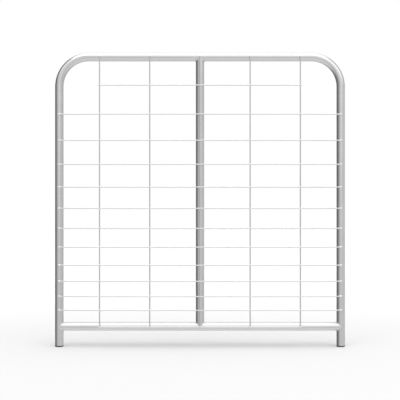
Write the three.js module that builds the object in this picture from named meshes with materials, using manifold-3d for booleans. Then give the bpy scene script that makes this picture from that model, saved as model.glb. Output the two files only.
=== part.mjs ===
// Livestock panel gate: a bent round-tube frame with a graduated welded-wire panel on its front.
// Millimetres, +Z up. The wire panel faces -Y. The origin is on the floor, in the middle of the
// gate's width and of its front-to-back thickness.
import * as THREE from 'three';
import { mergeVertices } from 'three/addons/utils/BufferGeometryUtils.js';
import Module from 'manifold-3d';

const wasm = await Module();
wasm.setup();

// Frame tubes
const GATE_HEIGHT = 1194;
const LEG_SPACING = 1145;
const TUBE_DIAMETER = 33.7;
const TUBE_WALL = 2.6;
const CORNER_RADIUS = 120;
const BOTTOM_RAIL_HEIGHT = 81.5;

// Wire panel
const WIRE_DIAMETER = 4.8;
const STAY_COUNT = 5;
const STAY_SPACING = 203.2;
const STAY_TOP_HEIGHT = 1178;
const STAY_BOTTOM_HEIGHT = 77;
const FIRST_LINE_HEIGHT = 1060;
// Gaps between the line wires, from the top one down: they close up towards the floor.
const LINE_GAPS = [117, 106, 97, 92, 86, 81, 76, 73, 65, 61, 56, 68];
const SHORT_LINE_OVERHANG = 5;
const LONG_LINE_OVERHANG = 3;

// Foot caps
const CAP_FLANGE = 4.6;
const CAP_EDGE_ROUND = 1.5;
const CAP_PLUG_LENGTH = 24;
const CAP_PLUG_WALL = 2.4;
const CAP_RIB_COUNT = 3;
const CAP_RIB_DEPTH = 0.7;
const CAP_RIB_PITCH = 5.5;

// Clearance between touching pieces, and the root gap that the tack welds bridge at the legs
const GAP = 0.3;
const TACK_GAP = 1.1;

// Facets
const TUBE_SIDES = 24;
const WIRE_SIDES = 8;
const CORNER_STEPS = 8;
const SETTLE_STEPS = 4;
const ROUND_STEPS = 3;

// Worked out from the values above
const TUBE_RADIUS = TUBE_DIAMETER / 2;
const BORE_RADIUS = TUBE_RADIUS - TUBE_WALL;
const WIRE_RADIUS = WIRE_DIAMETER / 2;
const LEG_X = LEG_SPACING / 2;
const TOP_RAIL_HEIGHT = GATE_HEIGHT - TUBE_RADIUS;
const STAY_LAYER = TUBE_RADIUS + GAP + WIRE_RADIUS;
const LINE_LAYER = STAY_LAYER + WIRE_DIAMETER + GAP;
const SETTLED_LAYER = TUBE_RADIUS + TACK_GAP + WIRE_RADIUS;
const OUTER_STAY_X = (STAY_SPACING * (STAY_COUNT - 1)) / 2;
// The tubes' axes lie behind the origin, so that the origin halves the gate's thickness.
const TUBE_PLANE_Y = (LINE_LAYER + WIRE_RADIUS - TUBE_RADIUS) / 2;

const zincSteel = (color, roughness) =>
  new THREE.MeshStandardMaterial({ color, roughness, metalness: 0.85 });
const blackPlastic = () =>
  new THREE.MeshStandardMaterial({ color: 0x161616, roughness: 0.6, metalness: 0 });

const TUBE_COLOR = 0xc4c6c8;
const TUBE_ROUGHNESS = 0.38;
const WIRE_COLOR = 0xc9cbcc;
const WIRE_ROUGHNESS = 0.34;

// A route through stations, each a point and a heading. Every extrusion step ends on a station,
// so a long straight run costs one step and a bend's sections stay square to its arc.
class Route extends THREE.Curve {
  constructor(stations) {
    super();
    this.stations = stations;
  }

  get steps() {
    return this.stations.length - 1;
  }

  locate(t) {
    const place = THREE.MathUtils.clamp(t, 0, 1) * this.steps;
    const index = Math.min(Math.floor(place + 1e-6), this.steps - 1);
    return { from: this.stations[index], to: this.stations[index + 1], share: place - index };
  }

  getPointAt(t, target = new THREE.Vector3()) {
    const { from, to, share } = this.locate(t);
    return target.lerpVectors(from.point, to.point, share);
  }

  getTangentAt(t, target = new THREE.Vector3()) {
    const { from, to, share } = this.locate(t);
    return target.lerpVectors(from.heading, to.heading, share).normalize();
  }
}

const station = (point, heading) => ({
  point: new THREE.Vector3(...point),
  heading: new THREE.Vector3(...heading).normalize(),
});

function ringSection(outerRadius, innerRadius = 0) {
  const section = new THREE.Shape().absarc(0, 0, outerRadius, 0, 2 * Math.PI);
  if (innerRadius > 0) {
    section.holes.push(new THREE.Path().absarc(0, 0, innerRadius, 0, 2 * Math.PI, true));
  }
  return section;
}

// An arc is sampled at twice curveSegments, so a full turn has exactly `sides` corners.
function sweep(section, stations, sides) {
  const route = new Route(stations);
  return new THREE.ExtrudeGeometry(section, {
    steps: route.steps,
    curveSegments: sides / 2,
    extrudePath: route,
  });
}

function solidFrom(geometry) {
  const bare = geometry.clone();
  bare.deleteAttribute('normal');
  bare.deleteAttribute('uv');
  const merged = mergeVertices(bare);
  return new wasm.Manifold(new wasm.Mesh({
    numProp: 3,
    vertProperties: Float32Array.from(merged.getAttribute('position').array),
    triVerts: Uint32Array.from(merged.getIndex().array),
  }));
}

function geometryFrom(solid) {
  const mesh = solid.getMesh();
  const geometry = new THREE.BufferGeometry();
  geometry.setAttribute('position', new THREE.BufferAttribute(mesh.vertProperties, 3));
  geometry.setIndex(new THREE.BufferAttribute(mesh.triVerts, 1));
  return geometry;
}

// A straight tube between two crossing tubes of its own size. Each end is saddle-cut around its
// neighbour, whose axis is square to the tube and passes through the end point.
function saddleTube(start, end, neighbourAxis) {
  const heading = new THREE.Vector3(...end).sub(new THREE.Vector3(...start)).toArray();
  const section = ringSection(TUBE_RADIUS, BORE_RADIUS);
  const tube = sweep(section, [station(start, heading), station(end, heading)], TUBE_SIDES);
  let solid = solidFrom(tube);
  for (const place of [start, end]) {
    const neighbour = new THREE.CylinderGeometry(
      TUBE_RADIUS + GAP, TUBE_RADIUS + GAP, 4 * TUBE_DIAMETER, TUBE_SIDES,
    );
    neighbour.applyQuaternion(new THREE.Quaternion().setFromUnitVectors(
      new THREE.Vector3(0, 1, 0), neighbourAxis,
    ));
    neighbour.translate(...place);
    solid = solid.subtract(solidFrom(neighbour));
  }
  return geometryFrom(solid);
}

// One tube, bent at both top corners: up the left leg, along the top and down the right leg.
function frameHoop() {
  const cornerX = LEG_X - CORNER_RADIUS;
  const cornerHeight = TOP_RAIL_HEIGHT - CORNER_RADIUS;
  const legBottom = CAP_FLANGE + GAP;
  const stations = [station([-LEG_X, 0, legBottom], [0, 0, 1])];
  for (const side of [-1, 1]) {
    for (let step = 0; step <= CORNER_STEPS; step += 1) {
      const turn = (step / CORNER_STEPS) * (Math.PI / 2);
      const angle = side < 0 ? Math.PI - turn : Math.PI / 2 - turn;
      const across = Math.cos(angle);
      const up = Math.sin(angle);
      const point = [side * cornerX + CORNER_RADIUS * across, 0, cornerHeight + CORNER_RADIUS * up];
      stations.push(station(point, [up, 0, -across]));
    }
  }
  stations.push(station([LEG_X, 0, legBottom], [0, 0, -1]));
  return sweep(ringSection(TUBE_RADIUS, BORE_RADIUS), stations, TUBE_SIDES);
}

const bottomRail = () => saddleTube(
  [-LEG_X, 0, BOTTOM_RAIL_HEIGHT], [LEG_X, 0, BOTTOM_RAIL_HEIGHT], new THREE.Vector3(0, 0, 1),
);

const centreStay = () => saddleTube(
  [0, 0, BOTTOM_RAIL_HEIGHT], [0, 0, TOP_RAIL_HEIGHT], new THREE.Vector3(1, 0, 0),
);

// A push-in cap: a rounded flange under the tube's end, and a hollow plug with gripping ribs.
function footCap() {
  const plugRadius = BORE_RADIUS - GAP;
  const plugTop = CAP_FLANGE + CAP_PLUG_LENGTH;
  const profile = [new THREE.Vector2(0, 0)];
  for (let step = 0; step <= ROUND_STEPS; step += 1) {
    const angle = (step / ROUND_STEPS) * (Math.PI / 2);
    const radius = TUBE_RADIUS - CAP_EDGE_ROUND * (1 - Math.sin(angle));
    profile.push(new THREE.Vector2(radius, CAP_EDGE_ROUND * (1 - Math.cos(angle))));
  }
  profile.push(new THREE.Vector2(TUBE_RADIUS, CAP_FLANGE));
  profile.push(new THREE.Vector2(plugRadius - CAP_RIB_DEPTH, CAP_FLANGE));
  for (let rib = 1; rib <= CAP_RIB_COUNT; rib += 1) {
    const ribHeight = CAP_FLANGE + rib * CAP_RIB_PITCH;
    profile.push(new THREE.Vector2(plugRadius, ribHeight));
    profile.push(new THREE.Vector2(plugRadius - CAP_RIB_DEPTH, ribHeight + CAP_RIB_DEPTH));
  }
  profile.push(new THREE.Vector2(plugRadius - 2 * CAP_RIB_DEPTH, plugTop));
  profile.push(new THREE.Vector2(plugRadius - CAP_RIB_DEPTH - CAP_PLUG_WALL, plugTop));
  profile.push(new THREE.Vector2(plugRadius - CAP_RIB_DEPTH - CAP_PLUG_WALL, CAP_FLANGE));
  profile.push(new THREE.Vector2(0, CAP_FLANGE));
  return new THREE.LatheGeometry(profile, TUBE_SIDES).rotateX(Math.PI / 2);
}

const stayWire = (x) => sweep(ringSection(WIRE_RADIUS), [
  station([x, -STAY_LAYER, STAY_BOTTOM_HEIGHT], [0, 0, 1]),
  station([x, -STAY_LAYER, STAY_TOP_HEIGHT], [0, 0, 1]),
], WIRE_SIDES);

const shortLineWire = (height) => sweep(ringSection(WIRE_RADIUS), [
  station([-OUTER_STAY_X - SHORT_LINE_OVERHANG, -LINE_LAYER, height], [1, 0, 0]),
  station([OUTER_STAY_X + SHORT_LINE_OVERHANG, -LINE_LAYER, height], [1, 0, 0]),
], WIRE_SIDES);

// A full-width line wire runs in front of the stay wires. Beyond the outermost ones it springs
// back, in a smooth S, to be tacked to the front of each leg.
function longLineWire(height) {
  const settleStart = OUTER_STAY_X + 2 * WIRE_DIAMETER;
  const settleEnd = LEG_X - TUBE_RADIUS;
  const settleRun = settleEnd - settleStart;
  const settleDepth = LINE_LAYER - SETTLED_LAYER;
  const settled = (side) => Array.from({ length: SETTLE_STEPS + 1 }, (_, step) => {
    const share = step / SETTLE_STEPS;
    const eased = share * share * (3 - 2 * share);
    const slope = (6 * share * (1 - share) * settleDepth) / settleRun;
    const x = side * (settleStart + settleRun * share);
    return station([x, settleDepth * eased - LINE_LAYER, height], [1, side * slope, 0]);
  });
  const endX = LEG_X + LONG_LINE_OVERHANG;
  return sweep(ringSection(WIRE_RADIUS), [
    station([-endX, -SETTLED_LAYER, height], [1, 0, 0]),
    ...settled(-1).reverse(),
    ...settled(1),
    station([endX, -SETTLED_LAYER, height], [1, 0, 0]),
  ], WIRE_SIDES);
}

const gate = new THREE.Group();
gate.position.y = TUBE_PLANE_Y;

function addPiece(name, geometry, material, x = 0) {
  const piece = new THREE.Mesh(geometry, material);
  piece.name = name;
  piece.position.x = x;
  gate.add(piece);
}

addPiece('frame_hoop', frameHoop(), zincSteel(TUBE_COLOR, TUBE_ROUGHNESS));
addPiece('bottom_rail', bottomRail(), zincSteel(TUBE_COLOR, TUBE_ROUGHNESS));
addPiece('centre_stay', centreStay(), zincSteel(TUBE_COLOR, TUBE_ROUGHNESS));
addPiece('foot_cap_left', footCap(), blackPlastic(), -LEG_X);
addPiece('foot_cap_right', footCap(), blackPlastic(), LEG_X);

for (let stay = 0; stay < STAY_COUNT; stay += 1) {
  const x = stay * STAY_SPACING - OUTER_STAY_X;
  addPiece(`stay_wire_${stay + 1}`, stayWire(x), zincSteel(WIRE_COLOR, WIRE_ROUGHNESS));
}

let lineHeight = FIRST_LINE_HEIGHT;
for (let line = 0; line <= LINE_GAPS.length; line += 1) {
  const isShort = line === 0 || line === LINE_GAPS.length;
  const geometry = isShort ? shortLineWire(lineHeight) : longLineWire(lineHeight);
  const name = `line_wire_${String(line + 1).padStart(2, '0')}`;
  addPiece(name, geometry, zincSteel(WIRE_COLOR, WIRE_ROUGHNESS));
  lineHeight -= LINE_GAPS[line] ?? 0;
}

export default gate;
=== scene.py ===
import math
import random

import bpy
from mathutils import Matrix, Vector


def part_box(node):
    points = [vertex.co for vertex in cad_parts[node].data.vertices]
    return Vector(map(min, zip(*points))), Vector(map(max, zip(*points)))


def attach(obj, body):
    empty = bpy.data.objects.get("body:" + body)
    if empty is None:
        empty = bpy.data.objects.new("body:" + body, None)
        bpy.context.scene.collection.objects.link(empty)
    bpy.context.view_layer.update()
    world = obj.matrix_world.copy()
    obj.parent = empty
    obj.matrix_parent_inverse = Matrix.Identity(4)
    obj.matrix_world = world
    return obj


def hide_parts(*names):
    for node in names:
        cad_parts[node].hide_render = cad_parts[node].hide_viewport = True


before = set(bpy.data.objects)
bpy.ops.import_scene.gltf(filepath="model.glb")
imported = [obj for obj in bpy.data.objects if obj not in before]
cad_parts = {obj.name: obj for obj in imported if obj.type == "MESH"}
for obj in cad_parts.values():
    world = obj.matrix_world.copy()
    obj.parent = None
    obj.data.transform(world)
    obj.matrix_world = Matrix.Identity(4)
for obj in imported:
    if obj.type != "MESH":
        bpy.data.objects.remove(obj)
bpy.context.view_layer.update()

# A galvanised livestock panel gate: smooth tubes, saddle welds, round wires with their weld
# nuggets and tacks, and ribbed foot caps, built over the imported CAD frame. Metres, +Z up.

random.seed(7)

ROOT = "root"
SHARP_EDGE = math.radians(40)

# ---- Tubes ----
TUBE_WALL = 0.0026
TUBE_SIDES = 72
BEND_STEPS = 28
BEND_FLATTENING = 0.018
RUN_STEP = 0.06
SADDLE_OVERLAP = 0.0004
SADDLE_CLEAR_RADII = 1.3

# ---- Weld beads between tubes ----
BEAD_RADIUS = 0.0022
BEAD_CROTCH_RISE = 0.0003
BEAD_CROTCH_SOFTNESS = 0.01
BEAD_SIDE_CROWN = 0.0005
STAY_BEAD_FRONT_CROWN = 0.00025
BEAD_STEPS = 220
BEAD_SIDES = 14
BEAD_RIPPLES = 42
BEAD_RIPPLE_DEPTH = 0.00022
BEAD_WANDER_WAVES = 6
BEAD_WANDER = 0.6
BEAD_WANDER_SHARE = 0.4
SLIGHT_TURN = 0.01
LEAST_BACKWARD = 0.05

# ---- Wires ----
WIRE_SIDES = 20
CUT_ROUND = 0.0005
SPRING_START_RADII = 4
SPRING_STEPS = 20
NEARLY_UPRIGHT = 0.9

# ---- Welds on the wires: half sizes, and how much they vary as a share of them ----
BLOB_SIDES = 14
BLOB_LEVELS = 8
BLOB_WAVES = 4
BLOB_POLE_GAP = 0.02
NUGGET = Vector((0.0031, 0.0016, 0.0031))
NUGGET_SPREAD = 0.08
NUGGET_LUMPS = 0.05
TACK_SPREAD = 0.1
TACK_LUMPS = 0.08
LEG_TACK = Vector((0.0066, 0.0021, 0.0040))
LEG_TACK_INSET = 0.003
LEG_TACK_FORWARD = 0.35
RAIL_TACK = Vector((0.0036, 0.0016, 0.0046))
RAIL_TACK_FORWARD = 0.2
BOTTOM_TACK_RAISE = 0.004

# ---- Foot caps ----
CAP_SIDES = 72
CAP_GAP = 0.0003
CAP_EDGE_ROUND = 0.0015
CAP_TOP_ROUND = 0.0004
CAP_ROUND_STEPS = 6
CAP_AXIS_RADIUS = 0.00005
DIMPLE_RADIUS = 0.0016
DIMPLE_FLOOR_SHARE = 0.7
DIMPLE_EDGE_SHARE = 0.9
GROOVE_RADIUS = 0.0108
GROOVE_HALF_WIDTH = 0.0007
GROOVE_FLOOR_SHARE = 0.4
GROOVE_DEPTH = 0.0004
PLUG_RIBS = 3
PLUG_RIB_PITCH = 0.0055
PLUG_RIB_DEPTH = 0.0007
PLUG_WALL = 0.0024

# ---- Noise: the part of its range that it mostly stays in ----
NOISE_LOW = 0.3
NOISE_HIGH = 0.7

# ---- Zinc: scales are per metre, and its tone and roughness swing either way by these amounts ----
ZINC_TINT = (1.0, 0.998, 1.0)
ZINC_CLOUD_SCALE = 7.0
ZINC_CLOUD_TONE = 0.025
ZINC_CLOUD_SMOOTHER = 0.02
ZINC_CLOUD_ROUGHER = 0.04
ZINC_CRYSTAL_TONE = 0.010
ZINC_CRYSTAL_ROUGHNESS = 0.012
ZINC_PEEL_SCALE = 520.0
ZINC_PEEL_SHARE = 0.7
ZINC_GRAIN_SCALE = 2600.0
ZINC_GRAIN_SHARE = 0.3
ZINC_BUMP_STRENGTH = 0.16
ZINC_BUMP_DEPTH = 0.00003
DRAW_LINES_ALONG = 6.0
DRAW_LINES_ACROSS = 3000.0

# ---- Black plastic ----
PLASTIC_DARK = (0.010, 0.010, 0.011)
PLASTIC_PALE = (0.016, 0.016, 0.017)
PLASTIC_CLOUD_SCALE = 90.0
PLASTIC_GRAIN_SCALE = 1800.0
PLASTIC_SMOOTHEST = 0.42
PLASTIC_ROUGHEST = 0.58
PLASTIC_BUMP_STRENGTH = 0.5
PLASTIC_BUMP_DEPTH = 0.0001

# ---- Floor: its tone lifts a little on the way back, between two distances behind the gate, as painted light standing in for brighter light there ----
FLOOR_REACH = 14.0
FLOOR_TONE = 0.503
FLOOR_CLOUD_SCALE = 0.8
FLOOR_CLOUD_TONE = 0.003
# Painted light: how much paler the floor is painted far behind the gate, in place of brighter light
# there.
FLOOR_PAINTED_LIGHT = 0.030
FLOOR_PAINTED_LIGHT_START_Y = 0.3
FLOOR_PAINTED_LIGHT_END_Y = 1.6

# ---- Studio, which everything but the camera sees ----
# An aim is a turn and a rise in degrees, as aimed() takes them. A spread is how many degrees from
# its aim a patch has ended, and how many it is still full.
WALL_GLOW = 0.72
FLAG_GLOW = 0.17
FLAG_AIM = (-135, 0)
FLAG_SPREAD = (120, 18)
FRONT_GLOW = 0.35
FRONT_AIM = (4, 10)
FRONT_SPREAD = (18, 3)
LEFT_BOX_GLOW = 0.62
LEFT_BOX_AIM = (-45, 44)
LEFT_BOX_SPREAD = (36, 12)
RIGHT_BOX_GLOW = 0.75
RIGHT_BOX_AIM = (42, 38)
RIGHT_BOX_SPREAD = (35, 12)
CEILING_GLOW = 1.8
CEILING_AIM = (0, 86)
CEILING_SPREAD = (38, 28)
CEILING_SQUEEZE = 0.55
LOWER_GLOW = 0.88
LOWER_AIM = (0, -88)
LOWER_SPREAD = (75, 30)

# ---- Key light ----
KEY_ELEVATION = math.radians(66)
KEY_TURN = math.radians(18)
KEY_SOFTNESS = math.radians(88)
KEY_STRENGTH = 2.7

# ---- Camera ----
CAMERA_DISTANCE = 3.54
CAMERA_HEIGHT = 0.5958
CAMERA_LENS_MM = 78.3
CAMERA_SENSOR_MM = 36.0


# ---------------------------------------------------------------- what the frame says

def corners_of(node):
    low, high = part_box(node)
    return Vector(low), Vector(high)


def middle(node):
    low, high = corners_of(node)
    return (low + high) / 2


SAME_PLACE = 1e-5
hoop_low, hoop_high = corners_of("frame_hoop")
TUBE_RADIUS = (hoop_high.y - hoop_low.y) / 2
TUBE_Y = (hoop_high.y + hoop_low.y) / 2
TUBE_FRONT_Y = TUBE_Y - TUBE_RADIUS
LEG_X = hoop_high.x - TUBE_RADIUS
LEG_BOTTOM_Z = hoop_low.z
TOP_RAIL_Z = hoop_high.z - TUBE_RADIUS
BOTTOM_RAIL_Z = middle("bottom_rail").z
hoop_points = [vertex.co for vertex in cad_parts["frame_hoop"].data.vertices]
BEND_START_Z = max(point.z for point in hoop_points if abs(point.x) > hoop_high.x - SAME_PLACE)
CORNER_RADIUS = TOP_RAIL_Z - BEND_START_Z
LINE_NODES = sorted(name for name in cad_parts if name.startswith("line_wire"))
STAY_NODES = sorted(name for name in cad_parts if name.startswith("stay_wire"))
line_low, line_high = corners_of(LINE_NODES[0])
WIRE_RADIUS = (line_high.z - line_low.z) / 2
LINE_Y = (line_low.y + line_high.y) / 2
STAY_Y = middle(STAY_NODES[0]).y
OUTER_STAY_X = middle(STAY_NODES[-1]).x
SETTLED_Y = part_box(LINE_NODES[1])[1][1] - WIRE_RADIUS

SIDEWAYS = Vector((0, 1, 0))
LEFT = Vector((-1, 0, 0))
RIGHT = Vector((1, 0, 0))
UP = Vector((0, 0, 1))
DOWN = Vector((0, 0, -1))


# ---------------------------------------------------------------- mesh helpers

def make_piece(name, points, faces, material, slot, replaced=()):
    mesh = bpy.data.meshes.new(name)
    mesh.from_pydata([tuple(point) for point in points], [], faces)
    mesh.validate()
    mesh.shade_smooth()
    mesh.set_sharp_from_angle(angle=SHARP_EDGE)
    mesh.materials.append(material)
    piece = bpy.data.objects.new(name, mesh)
    bpy.context.collection.objects.link(piece)
    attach(piece, ROOT)
    if replaced:
        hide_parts(*replaced)
    return piece


def turn_of(side, count):
    return 2 * math.pi * side / count


def bridge(faces, first, second, count):
    """Adds quads between two closed rings of points, whose first points have these numbers."""
    for side in range(count):
        following = (side + 1) % count
        faces.append((first + side, first + following, second + following, second + side))


def skin(rings, capped=True):
    """Points and faces of a skin over rings of equal size, with its two ends capped or open."""
    count = len(rings[0])
    points = [point for ring in rings for point in ring]
    faces = []
    for index in range(len(rings) - 1):
        bridge(faces, index * count, (index + 1) * count, count)
    if capped:
        faces.append(tuple(reversed(range(count))))
        faces.append(tuple(range((len(rings) - 1) * count, len(rings) * count)))
    return points, faces


def looped_skin(rings):
    """A skin over rings of equal size whose last ring joins the first."""
    points, faces = skin(rings, capped=False)
    count = len(rings[0])
    bridge(faces, (len(rings) - 1) * count, 0, count)
    return points, faces


def join_skins(parts):
    points = []
    faces = []
    for part_points, part_faces in parts:
        start = len(points)
        points.extend(part_points)
        faces.extend(tuple(start + corner for corner in face) for face in part_faces)
    return points, faces


# ---------------------------------------------------------------- materials

class Graph:
    """A material's or world's node tree, with short calls to add and join nodes."""

    def __init__(self, owner):
        owner.use_nodes = True
        self.tree = owner.node_tree
        self.tree.nodes.clear()

    def add(self, kind, inputs=None, **settings):
        node = self.tree.nodes.new(kind)
        for name, value in settings.items():
            setattr(node, name, value)
        for name, value in (inputs or {}).items():
            socket = node.inputs[name]
            if isinstance(value, bpy.types.NodeSocket):
                self.tree.links.new(value, socket)
            else:
                socket.default_value = value
        return node

    def noise(self, coords, scale, detail=3.0, roughness=0.5):
        values = {"Vector": coords, "Scale": scale, "Detail": detail, "Roughness": roughness}
        return self.add("ShaderNodeTexNoise", values).outputs["Fac"]

    def ranged(self, value, low, high, start=0.0, end=1.0, smooth=False):
        """The value, with start to end mapped to low to high."""
        kind = "SMOOTHSTEP" if smooth else "LINEAR"
        inputs = {"Value": value, "From Min": start, "From Max": end, "To Min": low, "To Max": high}
        return self.add("ShaderNodeMapRange", inputs, interpolation_type=kind).outputs["Result"]

    def maths(self, operation, first, second):
        node = self.add("ShaderNodeMath", {0: first, 1: second}, operation=operation)
        return node.outputs["Value"]

    def vector_maths(self, operation, result, *vectors):
        inputs = dict(enumerate(vectors))
        return self.add("ShaderNodeVectorMath", inputs, operation=operation).outputs[result]

    def stretched(self, coords, scale):
        node = self.add("ShaderNodeMapping", {"Vector": coords, "Scale": scale})
        return node.outputs["Vector"]

    def ramp(self, value, stops):
        node = self.add("ShaderNodeValToRGB", {"Fac": value})
        stops_made = node.color_ramp.elements
        while len(stops_made) < len(stops):
            stops_made.new(0.5)
        for made, (place, colour) in zip(stops_made, stops):
            made.position = place
            made.color = (*colour, 1.0)
        return node.outputs["Color"]


def grey(value, tint=(1.0, 1.0, 1.0)):
    return tuple(value * channel for channel in tint)


def zinc(name, tone, roughness, spangle_scale, draw_lines=None):
    """Galvanised steel: a cloudy tone, faint spangle, fine orange peel and, on wire, draw lines."""
    material = bpy.data.materials.new(name)
    graph = Graph(material)
    coords = graph.add("ShaderNodeTexCoord").outputs["Object"]
    clouds = graph.noise(coords, ZINC_CLOUD_SCALE, detail=5.0, roughness=0.6)
    voronoi = graph.add("ShaderNodeTexVoronoi", {"Vector": coords, "Scale": spangle_scale})
    crystals = graph.add("ShaderNodeSeparateColor", {"Color": voronoi.outputs["Color"]})
    crystal = crystals.outputs["Red"]
    peel = graph.noise(coords, ZINC_PEEL_SCALE, detail=2.0)
    grain = graph.noise(coords, ZINC_GRAIN_SCALE, detail=1.0)

    cloud_tone = graph.ranged(clouds, -ZINC_CLOUD_TONE, ZINC_CLOUD_TONE, NOISE_LOW, NOISE_HIGH)
    crystal_tone = graph.ranged(crystal, -ZINC_CRYSTAL_TONE, ZINC_CRYSTAL_TONE)
    shade = graph.maths("ADD", graph.maths("ADD", cloud_tone, crystal_tone), tone)
    colour = graph.ramp(shade, [(0.0, grey(0.0)), (1.0, grey(1.0, ZINC_TINT))])

    smoothest, roughest = roughness - ZINC_CLOUD_SMOOTHER, roughness + ZINC_CLOUD_ROUGHER
    cloud_rough = graph.ranged(clouds, smoothest, roughest, NOISE_LOW, NOISE_HIGH)
    crystal_rough = graph.ranged(crystal, -ZINC_CRYSTAL_ROUGHNESS, ZINC_CRYSTAL_ROUGHNESS)
    rough = graph.maths("ADD", cloud_rough, crystal_rough)

    peel_height = graph.maths("MULTIPLY", peel, ZINC_PEEL_SHARE)
    grain_height = graph.maths("MULTIPLY", grain, ZINC_GRAIN_SHARE)
    height = graph.maths("ADD", peel_height, grain_height)
    if draw_lines:
        lines = graph.noise(graph.stretched(coords, draw_lines), 1.0, detail=2.0)
        height = graph.maths("ADD", height, lines)
    bump = graph.add("ShaderNodeBump", {
        "Height": height, "Strength": ZINC_BUMP_STRENGTH, "Distance": ZINC_BUMP_DEPTH,
    })
    shader = graph.add("ShaderNodeBsdfPrincipled", {
        "Base Color": colour,
        "Roughness": rough,
        "Metallic": 1.0,
        "Normal": bump.outputs["Normal"],
    })
    graph.add("ShaderNodeOutputMaterial", {"Surface": shader.outputs["BSDF"]})
    return material


def moulded_plastic():
    """Black moulded plastic: faint flow clouds in its tone and gloss, and a fine spark-eroded grain."""
    material = bpy.data.materials.new("black_plastic")
    graph = Graph(material)
    coords = graph.add("ShaderNodeTexCoord").outputs["Object"]
    clouds = graph.noise(coords, PLASTIC_CLOUD_SCALE, detail=3.0)
    grain = graph.noise(coords, PLASTIC_GRAIN_SCALE, detail=2.0)
    colour = graph.ramp(clouds, [(NOISE_LOW, PLASTIC_DARK), (NOISE_HIGH, PLASTIC_PALE)])
    bump = graph.add("ShaderNodeBump", {
        "Height": grain, "Strength": PLASTIC_BUMP_STRENGTH, "Distance": PLASTIC_BUMP_DEPTH,
    })
    shader = graph.add("ShaderNodeBsdfPrincipled", {
        "Base Color": colour,
        "Roughness": graph.ranged(clouds, PLASTIC_SMOOTHEST, PLASTIC_ROUGHEST, NOISE_LOW, NOISE_HIGH),
        "Normal": bump.outputs["Normal"],
    })
    graph.add("ShaderNodeOutputMaterial", {"Surface": shader.outputs["BSDF"]})
    return material


LINE_DRAWN = (DRAW_LINES_ALONG, DRAW_LINES_ACROSS, DRAW_LINES_ACROSS)
STAY_DRAWN = (DRAW_LINES_ACROSS, DRAW_LINES_ACROSS, DRAW_LINES_ALONG)
TUBE_ZINC = zinc("tube_zinc", tone=0.70, roughness=0.18, spangle_scale=150.0)
WELD_ZINC = zinc("weld_zinc", tone=0.72, roughness=0.27, spangle_scale=400.0)
LINE_ZINC = zinc("line_wire_zinc", tone=0.72, roughness=0.20, spangle_scale=500.0, draw_lines=LINE_DRAWN)
STAY_ZINC = zinc("stay_wire_zinc", tone=0.72, roughness=0.20, spangle_scale=500.0, draw_lines=STAY_DRAWN)
PLASTIC = moulded_plastic()


# ---------------------------------------------------------------- frame tubes

def section_ring(centre, outward, radius, flattening=0.0):
    """A tube's ring, square to a path in the gate's plane and flattened towards the path's centre."""
    ring = []
    for side in range(TUBE_SIDES):
        angle = turn_of(side, TUBE_SIDES)
        across = outward * (radius * math.cos(angle) * (1 - flattening))
        ring.append(centre + across + SIDEWAYS * (radius * math.sin(angle)))
    return ring


def run(start, end):
    """Points from start to end, without the end, about RUN_STEP apart."""
    count = max(1, round((end - start).length / RUN_STEP))
    return [start.lerp(end, index / count) for index in range(count)]


def hoop_path():
    """(centre, outward, how far into a bend from 0 to 1) along the bent tube, from foot to foot."""
    corner_x = LEG_X - CORNER_RADIUS
    foot = Vector((-LEG_X, TUBE_Y, LEG_BOTTOM_Z))
    path = [(point, LEFT, 0.0) for point in run(foot, Vector((-LEG_X, TUBE_Y, BEND_START_Z)))]
    for hand in (-1, 1):
        pivot = Vector((hand * corner_x, TUBE_Y, BEND_START_Z))
        for step in range(BEND_STEPS + 1):
            share = step / BEND_STEPS
            turn = share * math.pi / 2
            angle = math.pi - turn if hand < 0 else math.pi / 2 - turn
            outward = Vector((math.cos(angle), 0, math.sin(angle)))
            path.append((pivot + outward * CORNER_RADIUS, outward, math.sin(math.pi * share)))
        if hand < 0:
            rail_start = Vector((-corner_x, TUBE_Y, TOP_RAIL_Z))
            rail_end = Vector((corner_x, TUBE_Y, TOP_RAIL_Z))
            path += [(point, UP, 0.0) for point in run(rail_start, rail_end)[1:]]
    last = Vector((LEG_X, TUBE_Y, LEG_BOTTOM_Z))
    path += [(point, RIGHT, 0.0) for point in run(Vector((LEG_X, TUBE_Y, BEND_START_Z)), last)[1:]]
    path.append((last, RIGHT, 0.0))
    return path


def hollow(outer, inner):
    """A tube's skin: out along the outer rings and back along the inner ones."""
    return looped_skin(outer + list(reversed(inner)))


def build_hoop():
    path = hoop_path()
    skins = []
    for radius in (TUBE_RADIUS, TUBE_RADIUS - TUBE_WALL):
        skins.append([
            section_ring(centre, outward, radius, BEND_FLATTENING * into)
            for centre, outward, into in path
        ])
    points, faces = hollow(*skins)
    make_piece("frame_hoop_tube", points, faces, TUBE_ZINC, "tube_zinc", ["frame_hoop"])


def saddle_ring(centre, inward, upward, radius):
    """A tube's end ring, shaped to sit on a crossing tube whose axis passes through centre."""
    ring = []
    for side in range(TUBE_SIDES):
        angle = turn_of(side, TUBE_SIDES)
        out = upward * (radius * math.cos(angle)) + SIDEWAYS * (radius * math.sin(angle))
        reach = math.sqrt(max(TUBE_RADIUS ** 2 - (radius * math.sin(angle)) ** 2, 0.0))
        ring.append(centre + out + inward * max(reach - SADDLE_OVERLAP, 0.0))
    return ring


def build_saddle_tube(name, start, end, node):
    """A straight tube from one crossing tube's axis to another's, saddle-cut at both ends."""
    heading = (end - start).normalized()
    upward = heading.cross(SIDEWAYS)
    clear = TUBE_RADIUS * SADDLE_CLEAR_RADII
    skins = []
    for radius in (TUBE_RADIUS, TUBE_RADIUS - TUBE_WALL):
        rings = [saddle_ring(start, heading, upward, radius)]
        for point in run(start + heading * clear, end - heading * clear):
            rings.append(section_ring(point, upward, radius))
        rings.append(section_ring(end - heading * clear, upward, radius))
        rings.append(saddle_ring(end, -heading, upward, radius))
        skins.append(rings)
    points, faces = hollow(*skins)
    make_piece(name, points, faces, TUBE_ZINC, "tube_zinc", [node])


# ---------------------------------------------------------------- saddle welds

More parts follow.
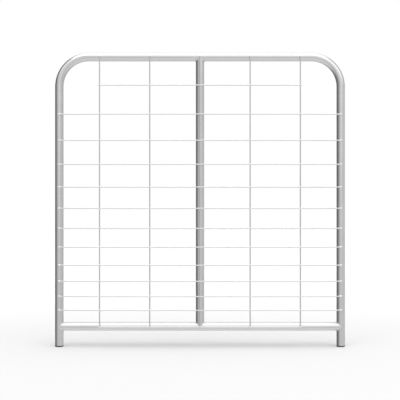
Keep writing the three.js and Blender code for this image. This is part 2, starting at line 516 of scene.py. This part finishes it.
def build_bead(name, centre, inward, front_crown):
    """A rippled fillet weld along the saddle line of two equal tubes that cross at centre.

    The bead fills the crotches, and thins to a low crown at the front. It is flush at the back,
    where the tubes' surfaces meet in one plane.
    """
    upward = inward.cross(SIDEWAYS)

    def saddle_point(angle):
        along = TUBE_RADIUS * math.sqrt(math.cos(angle) ** 2 + BEAD_CROTCH_SOFTNESS)
        across = upward * math.cos(angle) + SIDEWAYS * math.sin(angle)
        return centre + inward * along + across * TUBE_RADIUS

    phase = random.uniform(0, 2 * math.pi)
    wander = [random.uniform(-BEAD_WANDER, BEAD_WANDER) for _ in range(BEAD_WANDER_WAVES)]
    rings = []
    for step in range(BEAD_STEPS):
        angle = turn_of(step, BEAD_STEPS)
        side = math.sin(angle)
        tube_normal = upward * math.cos(angle) + SIDEWAYS * side
        cross_normal = inward * abs(math.cos(angle)) + SIDEWAYS * side
        outward = (tube_normal + cross_normal).normalized()
        tangent = (saddle_point(angle + SLIGHT_TURN) - saddle_point(angle - SLIGHT_TURN)).normalized()
        binormal = tangent.cross(outward).normalized()
        waves = sum(size * math.sin((k + 1) * angle + k) for k, size in enumerate(wander))
        drift = waves * BEAD_WANDER_SHARE
        ripple = abs(math.sin(BEAD_RIPPLES * angle + drift + phase)) - 0.5
        radius = BEAD_RADIUS + BEAD_RIPPLE_DEPTH * ripple
        room_behind = TUBE_RADIUS * (1 - side)
        crown = front_crown if side < 0 else BEAD_SIDE_CROWN
        crown = min(crown, room_behind) if side > 0 else crown
        flatness = side * side
        rise = (1 - flatness) * BEAD_CROTCH_RISE + flatness * (crown - BEAD_RADIUS)
        if side > 0:
            rise = min(rise, room_behind / max(outward.y, LEAST_BACKWARD) - radius)
        bead_centre = saddle_point(angle) + outward * rise
        rings.append([
            bead_centre
            + outward * (radius * math.cos(turn_of(k, BEAD_SIDES)))
            + binormal * (radius * math.sin(turn_of(k, BEAD_SIDES)))
            for k in range(BEAD_SIDES)
        ])
    make_piece(name, *looped_skin(rings), WELD_ZINC, "tube_zinc")


# ---------------------------------------------------------------- wires

def wire_skin(path):
    """A round wire along (centre, heading) stations, with lightly rounded sheared ends."""
    first, first_heading = path[0]
    last, last_heading = path[-1]
    stations = [
        (first, first_heading, WIRE_RADIUS - CUT_ROUND),
        (first + first_heading * CUT_ROUND, first_heading, WIRE_RADIUS),
        *((centre, heading, WIRE_RADIUS) for centre, heading in path[1:-1]),
        (last - last_heading * CUT_ROUND, last_heading, WIRE_RADIUS),
        (last, last_heading, WIRE_RADIUS - CUT_ROUND),
    ]
    rings = []
    for centre, heading, radius in stations:
        first_axis = heading.orthogonal() if abs(heading.z) > NEARLY_UPRIGHT else heading.cross(UP)
        first_axis.normalize()
        second_axis = heading.cross(first_axis)
        rings.append([
            centre
            + first_axis * (radius * math.cos(turn_of(side, WIRE_SIDES)))
            + second_axis * (radius * math.sin(turn_of(side, WIRE_SIDES)))
            for side in range(WIRE_SIDES)
        ])
    return skin(rings)


def straight_path(start, end):
    heading = (end - start).normalized()
    return [(point, heading) for point in run(start, end)] + [(end, heading)]


def sprung_path(end_x, height):
    """A full-width line wire's path: level, then back in a smooth S from the outer stays to the legs."""
    start = OUTER_STAY_X + SPRING_START_RADII * WIRE_RADIUS
    span = LEG_X - TUBE_RADIUS - start
    depth = SETTLED_Y - LINE_Y
    right = []
    for step in range(SPRING_STEPS + 1):
        share = step / SPRING_STEPS
        eased = share * share * (3 - 2 * share)
        slope = 6 * share * (1 - share) * depth / span
        point = Vector((start + span * share, LINE_Y + depth * eased, height))
        right.append((point, Vector((1, slope, 0)).normalized()))
    right.append((Vector((end_x, SETTLED_Y, height)), RIGHT))
    left = [
        (Vector((-point.x, point.y, height)), Vector((heading.x, -heading.y, 0)))
        for point, heading in reversed(right)
    ]
    between = straight_path(left[-1][0], right[0][0])[1:-1]
    return left + between + right


def build_line_wire(node):
    low, high = corners_of(node)
    height = (low.z + high.z) / 2
    if high.x < LEG_X:
        path = straight_path(Vector((low.x, LINE_Y, height)), Vector((high.x, LINE_Y, height)))
    else:
        path = sprung_path(high.x, height)
    make_piece(f"{node}_round", *wire_skin(path), LINE_ZINC, "wire_zinc", [node])


def build_stay_wire(node):
    low, high = corners_of(node)
    x = (low.x + high.x) / 2
    path = straight_path(Vector((x, STAY_Y, low.z)), Vector((x, STAY_Y, high.z)))
    make_piece(f"{node}_round", *wire_skin(path), STAY_ZINC, "wire_zinc", [node])


# ---------------------------------------------------------------- welds on the wires

def varied(size, spread):
    return size * random.uniform(1 - spread, 1 + spread)


def blob(centre, size, lumpiness):
    """A small lumpy closed blob with its poles along Y."""
    lumps = [random.uniform(-lumpiness, lumpiness) for _ in range(BLOB_WAVES)]
    rings = []
    for level in range(BLOB_LEVELS + 1):
        polar = math.pi * (BLOB_POLE_GAP + (1 - 2 * BLOB_POLE_GAP) * level / BLOB_LEVELS)
        ring = []
        for side in range(BLOB_SIDES):
            angle = turn_of(side, BLOB_SIDES)
            wave = 1 + sum(lump * math.cos((k + 1) * angle + k + polar) for k, lump in enumerate(lumps))
            ring.append(centre + Vector((
                size.x * math.sin(polar) * math.cos(angle) * wave,
                size.y * math.cos(polar),
                size.z * math.sin(polar) * math.sin(angle) * wave,
            )))
        rings.append(ring)
    return skin(rings)


def build_nuggets(node):
    """The squeezed-out metal at each place where a line wire is resistance-welded to a stay wire."""
    height = middle(node).z
    contact_y = (LINE_Y + STAY_Y) / 2
    parts = []
    for stay in STAY_NODES:
        size = varied(NUGGET, NUGGET_SPREAD)
        parts.append(blob(Vector((middle(stay).x, contact_y, height)), size, NUGGET_LUMPS))
    make_piece(f"{node}_nuggets", *join_skins(parts), WELD_ZINC, "wire_zinc")


def build_leg_tacks(name, hand):
    """The tacks that hold the full-width line wires' ends to the front of one leg."""
    across = hand * (LEG_X - LEG_TACK_INSET)
    forward = TUBE_FRONT_Y - LEG_TACK.y * LEG_TACK_FORWARD
    parts = []
    for node in LINE_NODES[1:-1]:
        centre = Vector((across, forward, middle(node).z))
        parts.append(blob(centre, varied(LEG_TACK, TACK_SPREAD), TACK_LUMPS))
    make_piece(name, *join_skins(parts), WELD_ZINC, "wire_zinc")


def build_rail_tacks(name, height):
    """The tacks that hold the stay wires to the front of one rail."""
    forward = TUBE_FRONT_Y - RAIL_TACK.y * RAIL_TACK_FORWARD
    parts = []
    for stay in STAY_NODES:
        centre = Vector((middle(stay).x, forward, height))
        parts.append(blob(centre, varied(RAIL_TACK, TACK_SPREAD), TACK_LUMPS))
    make_piece(name, *join_skins(parts), WELD_ZINC, "wire_zinc")


# ---------------------------------------------------------------- foot caps

def cap_profile(flange, plug_radius, height):
    """(radius, height) from the underside's centre, round the flange and plug, to the inner floor."""
    profile = [
        (CAP_AXIS_RADIUS, GROOVE_DEPTH),
        (DIMPLE_RADIUS * DIMPLE_FLOOR_SHARE, GROOVE_DEPTH * DIMPLE_EDGE_SHARE),
        (DIMPLE_RADIUS, 0.0),
        (GROOVE_RADIUS - GROOVE_HALF_WIDTH, 0.0),
        (GROOVE_RADIUS - GROOVE_HALF_WIDTH * GROOVE_FLOOR_SHARE, GROOVE_DEPTH),
        (GROOVE_RADIUS + GROOVE_HALF_WIDTH * GROOVE_FLOOR_SHARE, GROOVE_DEPTH),
        (GROOVE_RADIUS + GROOVE_HALF_WIDTH, 0.0),
    ]
    for step in range(CAP_ROUND_STEPS + 1):
        angle = math.pi / 2 * step / CAP_ROUND_STEPS
        radius = TUBE_RADIUS - CAP_EDGE_ROUND * (1 - math.sin(angle))
        profile.append((radius, CAP_EDGE_ROUND * (1 - math.cos(angle))))
    profile.append((TUBE_RADIUS, flange - CAP_TOP_ROUND))
    profile.append((TUBE_RADIUS - CAP_TOP_ROUND, flange))
    profile.append((plug_radius - PLUG_RIB_DEPTH, flange))
    for rib in range(1, PLUG_RIBS + 1):
        level = flange + rib * PLUG_RIB_PITCH
        profile.append((plug_radius, level))
        profile.append((plug_radius - PLUG_RIB_DEPTH, level + PLUG_RIB_DEPTH))
    profile.append((plug_radius - 2 * PLUG_RIB_DEPTH, height))
    profile.append((plug_radius - PLUG_RIB_DEPTH - PLUG_WALL, height))
    profile.append((plug_radius - PLUG_RIB_DEPTH - PLUG_WALL, flange))
    profile.append((CAP_AXIS_RADIUS, flange))
    return profile


def build_cap(name, node):
    low, high = corners_of(node)
    centre = (low + high) / 2
    flange_top = LEG_BOTTOM_Z - CAP_GAP
    plug_radius = TUBE_RADIUS - TUBE_WALL - CAP_GAP
    rings = []
    for radius, level in cap_profile(flange_top - low.z, plug_radius, high.z - low.z):
        rings.append([
            Vector((
                centre.x + radius * math.cos(turn_of(side, CAP_SIDES)),
                centre.y + radius * math.sin(turn_of(side, CAP_SIDES)),
                low.z + level,
            ))
            for side in range(CAP_SIDES)
        ])
    make_piece(name, *skin(rings), PLASTIC, "cap_plastic", [node])


# ---------------------------------------------------------------- the gate

rail_left = Vector((-LEG_X, TUBE_Y, BOTTOM_RAIL_Z))
rail_right = Vector((LEG_X, TUBE_Y, BOTTOM_RAIL_Z))
stay_foot = Vector((0, TUBE_Y, BOTTOM_RAIL_Z))
stay_head = Vector((0, TUBE_Y, TOP_RAIL_Z))
build_hoop()
build_saddle_tube("bottom_rail_tube", rail_left, rail_right, "bottom_rail")
build_saddle_tube("centre_stay_tube", stay_foot, stay_head, "centre_stay")
build_bead("rail_weld_left", rail_left, RIGHT, BEAD_SIDE_CROWN)
build_bead("rail_weld_right", rail_right, LEFT, BEAD_SIDE_CROWN)
build_bead("stay_weld_bottom", stay_foot, UP, STAY_BEAD_FRONT_CROWN)
build_bead("stay_weld_top", stay_head, DOWN, STAY_BEAD_FRONT_CROWN)

for node in LINE_NODES:
    build_line_wire(node)
    build_nuggets(node)
for node in STAY_NODES:
    build_stay_wire(node)
build_leg_tacks("leg_tacks_left", -1)
build_leg_tacks("leg_tacks_right", 1)
build_rail_tacks("top_rail_tacks", TOP_RAIL_Z)
build_rail_tacks("bottom_rail_tacks", BOTTOM_RAIL_Z + BOTTOM_TACK_RAISE)

build_cap("foot_cap_left_moulded", "foot_cap_left")
build_cap("foot_cap_right_moulded", "foot_cap_right")


# ---------------------------------------------------------------- floor, light, camera

def build_floor():
    """A pale floor, painted paler further behind the gate in place of brighter light there. Reflections
    leave it out, and show the studio's own pale lower half.
    """
    material = bpy.data.materials.new("pale_floor")
    graph = Graph(material)
    coords = graph.add("ShaderNodeTexCoord").outputs["Object"]
    depth = graph.add("ShaderNodeSeparateXYZ", {"Vector": coords}).outputs["Y"]
    noise = graph.noise(coords, FLOOR_CLOUD_SCALE)
    cloud = graph.ranged(noise, -FLOOR_CLOUD_TONE, FLOOR_CLOUD_TONE, NOISE_LOW, NOISE_HIGH)
    # Painted light: the floor's tone rises further behind the gate, standing in for brighter light
    # falling there.
    painted_light = graph.ranged(depth, 0.0, FLOOR_PAINTED_LIGHT, FLOOR_PAINTED_LIGHT_START_Y, FLOOR_PAINTED_LIGHT_END_Y, smooth=True)
    level = graph.maths("ADD", graph.maths("ADD", cloud, painted_light), FLOOR_TONE)
    tone = graph.ramp(level, [(0.0, grey(0.0)), (1.0, grey(1.0))])
    shader = graph.add("ShaderNodeBsdfDiffuse", {"Color": tone})
    graph.add("ShaderNodeOutputMaterial", {"Surface": shader.outputs["BSDF"]})
    mesh = bpy.data.meshes.new("floor")
    near, far = -FLOOR_REACH, FLOOR_REACH
    corners = [(near, near, 0), (far, near, 0), (far, far, 0), (near, far, 0)]
    mesh.from_pydata(corners, [], [(0, 1, 2, 3)])
    mesh.materials.append(material)
    floor = bpy.data.objects.new("floor", mesh)
    floor.visible_glossy = False
    bpy.context.collection.objects.link(floor)


def aimed(turn, rise):
    """The direction turned from the photographer's side (-Y) towards +X, and raised, in degrees."""
    turn, rise = math.radians(turn), math.radians(rise)
    return Vector((
        math.cos(rise) * math.sin(turn),
        -math.cos(rise) * math.cos(turn),
        math.sin(rise),
    ))


def build_world():
    """The studio around the gate, as everything but the camera sees it.

    Even walls have a dark flag behind the gate on the left, and a small glow between two soft boxes
    in front of it. Over them is a bright ceiling, drawn out from front to back, and under them a
    pale lower half. The camera sees plain white.
    """
    world = bpy.data.worlds.new("studio")
    bpy.context.scene.world = world
    graph = Graph(world)
    direction = graph.add("ShaderNodeTexCoord").outputs["Generated"]

    def glow(aim, spread, low=0.0, high=1.0, from_direction=direction):
        """Low where the patch aimed this way has ended, and rising smoothly to high where it is full."""
        ended, full = (math.cos(math.radians(angle)) for angle in spread)
        facing = graph.vector_maths("DOT_PRODUCT", "Value", from_direction, aimed(*aim))
        return graph.ranged(facing, low, high, ended, full, smooth=True)

    def blend(share, first, second):
        keep = graph.maths("MULTIPLY", first, graph.maths("SUBTRACT", 1.0, share))
        return graph.maths("ADD", keep, graph.maths("MULTIPLY", share, second))

    walls = glow(FLAG_AIM, FLAG_SPREAD, WALL_GLOW, FLAG_GLOW)
    front = glow(FRONT_AIM, FRONT_SPREAD, high=FRONT_GLOW)
    left_box = glow(LEFT_BOX_AIM, LEFT_BOX_SPREAD, high=LEFT_BOX_GLOW)
    right_box = glow(RIGHT_BOX_AIM, RIGHT_BOX_SPREAD, high=RIGHT_BOX_GLOW)
    squeezed = graph.vector_maths("MULTIPLY", "Vector", direction, (1, CEILING_SQUEEZE, 1))
    unit = graph.vector_maths("NORMALIZE", "Vector", squeezed)
    upper = glow(CEILING_AIM, CEILING_SPREAD, from_direction=unit)
    lower = glow(LOWER_AIM, LOWER_SPREAD)
    boxes = graph.maths("ADD", left_box, right_box)
    studio = graph.maths("ADD", graph.maths("ADD", walls, front), boxes)
    studio = blend(upper, studio, CEILING_GLOW)
    studio = blend(lower, studio, LOWER_GLOW)
    seen = graph.add("ShaderNodeLightPath").outputs["Is Camera Ray"]
    lit = graph.add("ShaderNodeBackground", {"Color": (1, 1, 1, 1), "Strength": studio})
    plain = graph.add("ShaderNodeBackground", {"Color": (1, 1, 1, 1), "Strength": 1.0})
    mixed = graph.add("ShaderNodeMixShader", {
        0: seen, 1: lit.outputs["Background"], 2: plain.outputs["Background"],
    })
    graph.add("ShaderNodeOutputWorld", {"Surface": mixed.outputs["Shader"]})


def build_key_light():
    """One broad soft light, high in front of the gate."""
    lamp = bpy.data.lights.new("key", "SUN")
    lamp.energy = KEY_STRENGTH
    lamp.angle = KEY_SOFTNESS
    holder = bpy.data.objects.new("key", lamp)
    holder.rotation_euler = (math.pi / 2 - KEY_ELEVATION, 0, KEY_TURN)
    holder.visible_glossy = False
    bpy.context.collection.objects.link(holder)


def build_camera():
    """The photographer's camera, level and square to the gate."""
    camera = bpy.data.cameras.new("camera")
    camera.lens = CAMERA_LENS_MM
    camera.sensor_width = CAMERA_SENSOR_MM
    holder = bpy.data.objects.new("camera", camera)
    bpy.context.collection.objects.link(holder)
    holder.location = (0, TUBE_Y - CAMERA_DISTANCE, CAMERA_HEIGHT)
    holder.rotation_euler = (math.pi / 2, 0, 0)
    bpy.context.scene.camera = holder


build_floor()
build_world()
build_key_light()
build_camera()
bpy.context.scene.view_settings.view_transform = "Standard"
